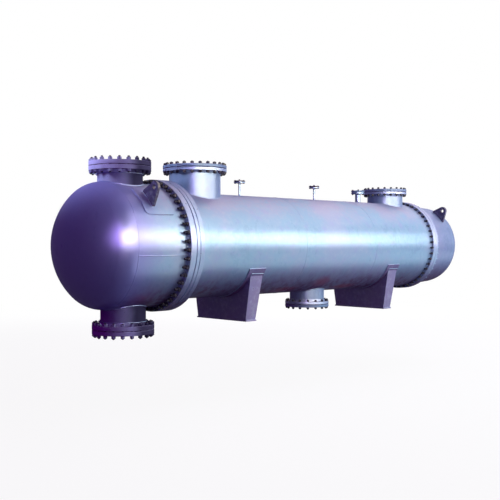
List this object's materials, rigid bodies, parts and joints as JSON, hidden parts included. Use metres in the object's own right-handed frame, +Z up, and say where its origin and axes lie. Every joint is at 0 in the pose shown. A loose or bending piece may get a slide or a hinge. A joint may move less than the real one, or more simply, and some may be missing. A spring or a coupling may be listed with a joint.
{
  "type": "horizontal shell-and-tube heat exchanger",
  "caption": "Long horizontal steel heat exchanger: dished channel, round shell and tapered rear cover, flanged nozzles above and below, on two saddle supports.",
  "frame": {"origin": "centre of the underside of the front saddle's base plate", "axes": "+X along the vessel from the channel to the rear cover, +Z up, +Y to the left when looking along +X"},
  "size_m": [6.688, 1.47, 1.932],
  "materials": {
    "vessel_paint": "semi-gloss lilac-grey paint",
    "flange_paint": "semi-gloss lilac-grey paint over machined forgings",
    "cover_paint": "semi-gloss lilac-grey paint",
    "saddle_paint": "semi-gloss lilac-grey paint",
    "lug_paint": "semi-gloss lilac-grey paint",
    "stud_steel": "dark steel studs and nuts, oiled and partly painted"
  },
  "bodies": {
    "root": {"channel_head": "vessel_paint", "channel_barrel": "vessel_paint", "channel_flange": "flange_paint", "tubesheet": "flange_paint", "shell_front_flange": "flange_paint", "shell_barrel": "vessel_paint", "shell_rear_flange": "flange_paint", "cover_flange": "flange_paint", "cover_barrel": "vessel_paint", "cover_head": "vessel_paint", "channel_top_neck": "vessel_paint", "channel_top_flange": "flange_paint", "channel_top_blind": "cover_paint", "channel_top_studs": "stud_steel", "channel_bottom_neck": "vessel_paint", "channel_bottom_flange": "flange_paint", "channel_bottom_blind": "cover_paint", "channel_bottom_studs": "stud_steel", "front_top_neck": "vessel_paint", "front_top_flange": "flange_paint", "front_top_blind": "cover_paint", "bottom_neck": "vessel_paint", "bottom_flange": "flange_paint", "bottom_blind": "cover_paint", "rear_top_neck": "vessel_paint", "rear_top_flange": "flange_paint", "rear_top_blind": "cover_paint", "front_vent": "vessel_paint", "front_vent_cap": "cover_paint", "middle_vent": "vessel_paint", "middle_vent_cap": "cover_paint", "relief_pipe": "vessel_paint", "relief_cap": "cover_paint", "front_saddle_base": "saddle_paint", "front_saddle_web": "saddle_paint", "front_saddle_ribs": "saddle_paint", "front_saddle_wrapper": "saddle_paint", "rear_saddle_base": "saddle_paint", "rear_saddle_web": "saddle_paint", "rear_saddle_ribs": "saddle_paint", "rear_saddle_wrapper": "saddle_paint", "front_lug_pads": "vessel_paint", "front_lugs": "lug_paint", "rear_lugs": "lug_paint"}
  },
  "joints": []
}
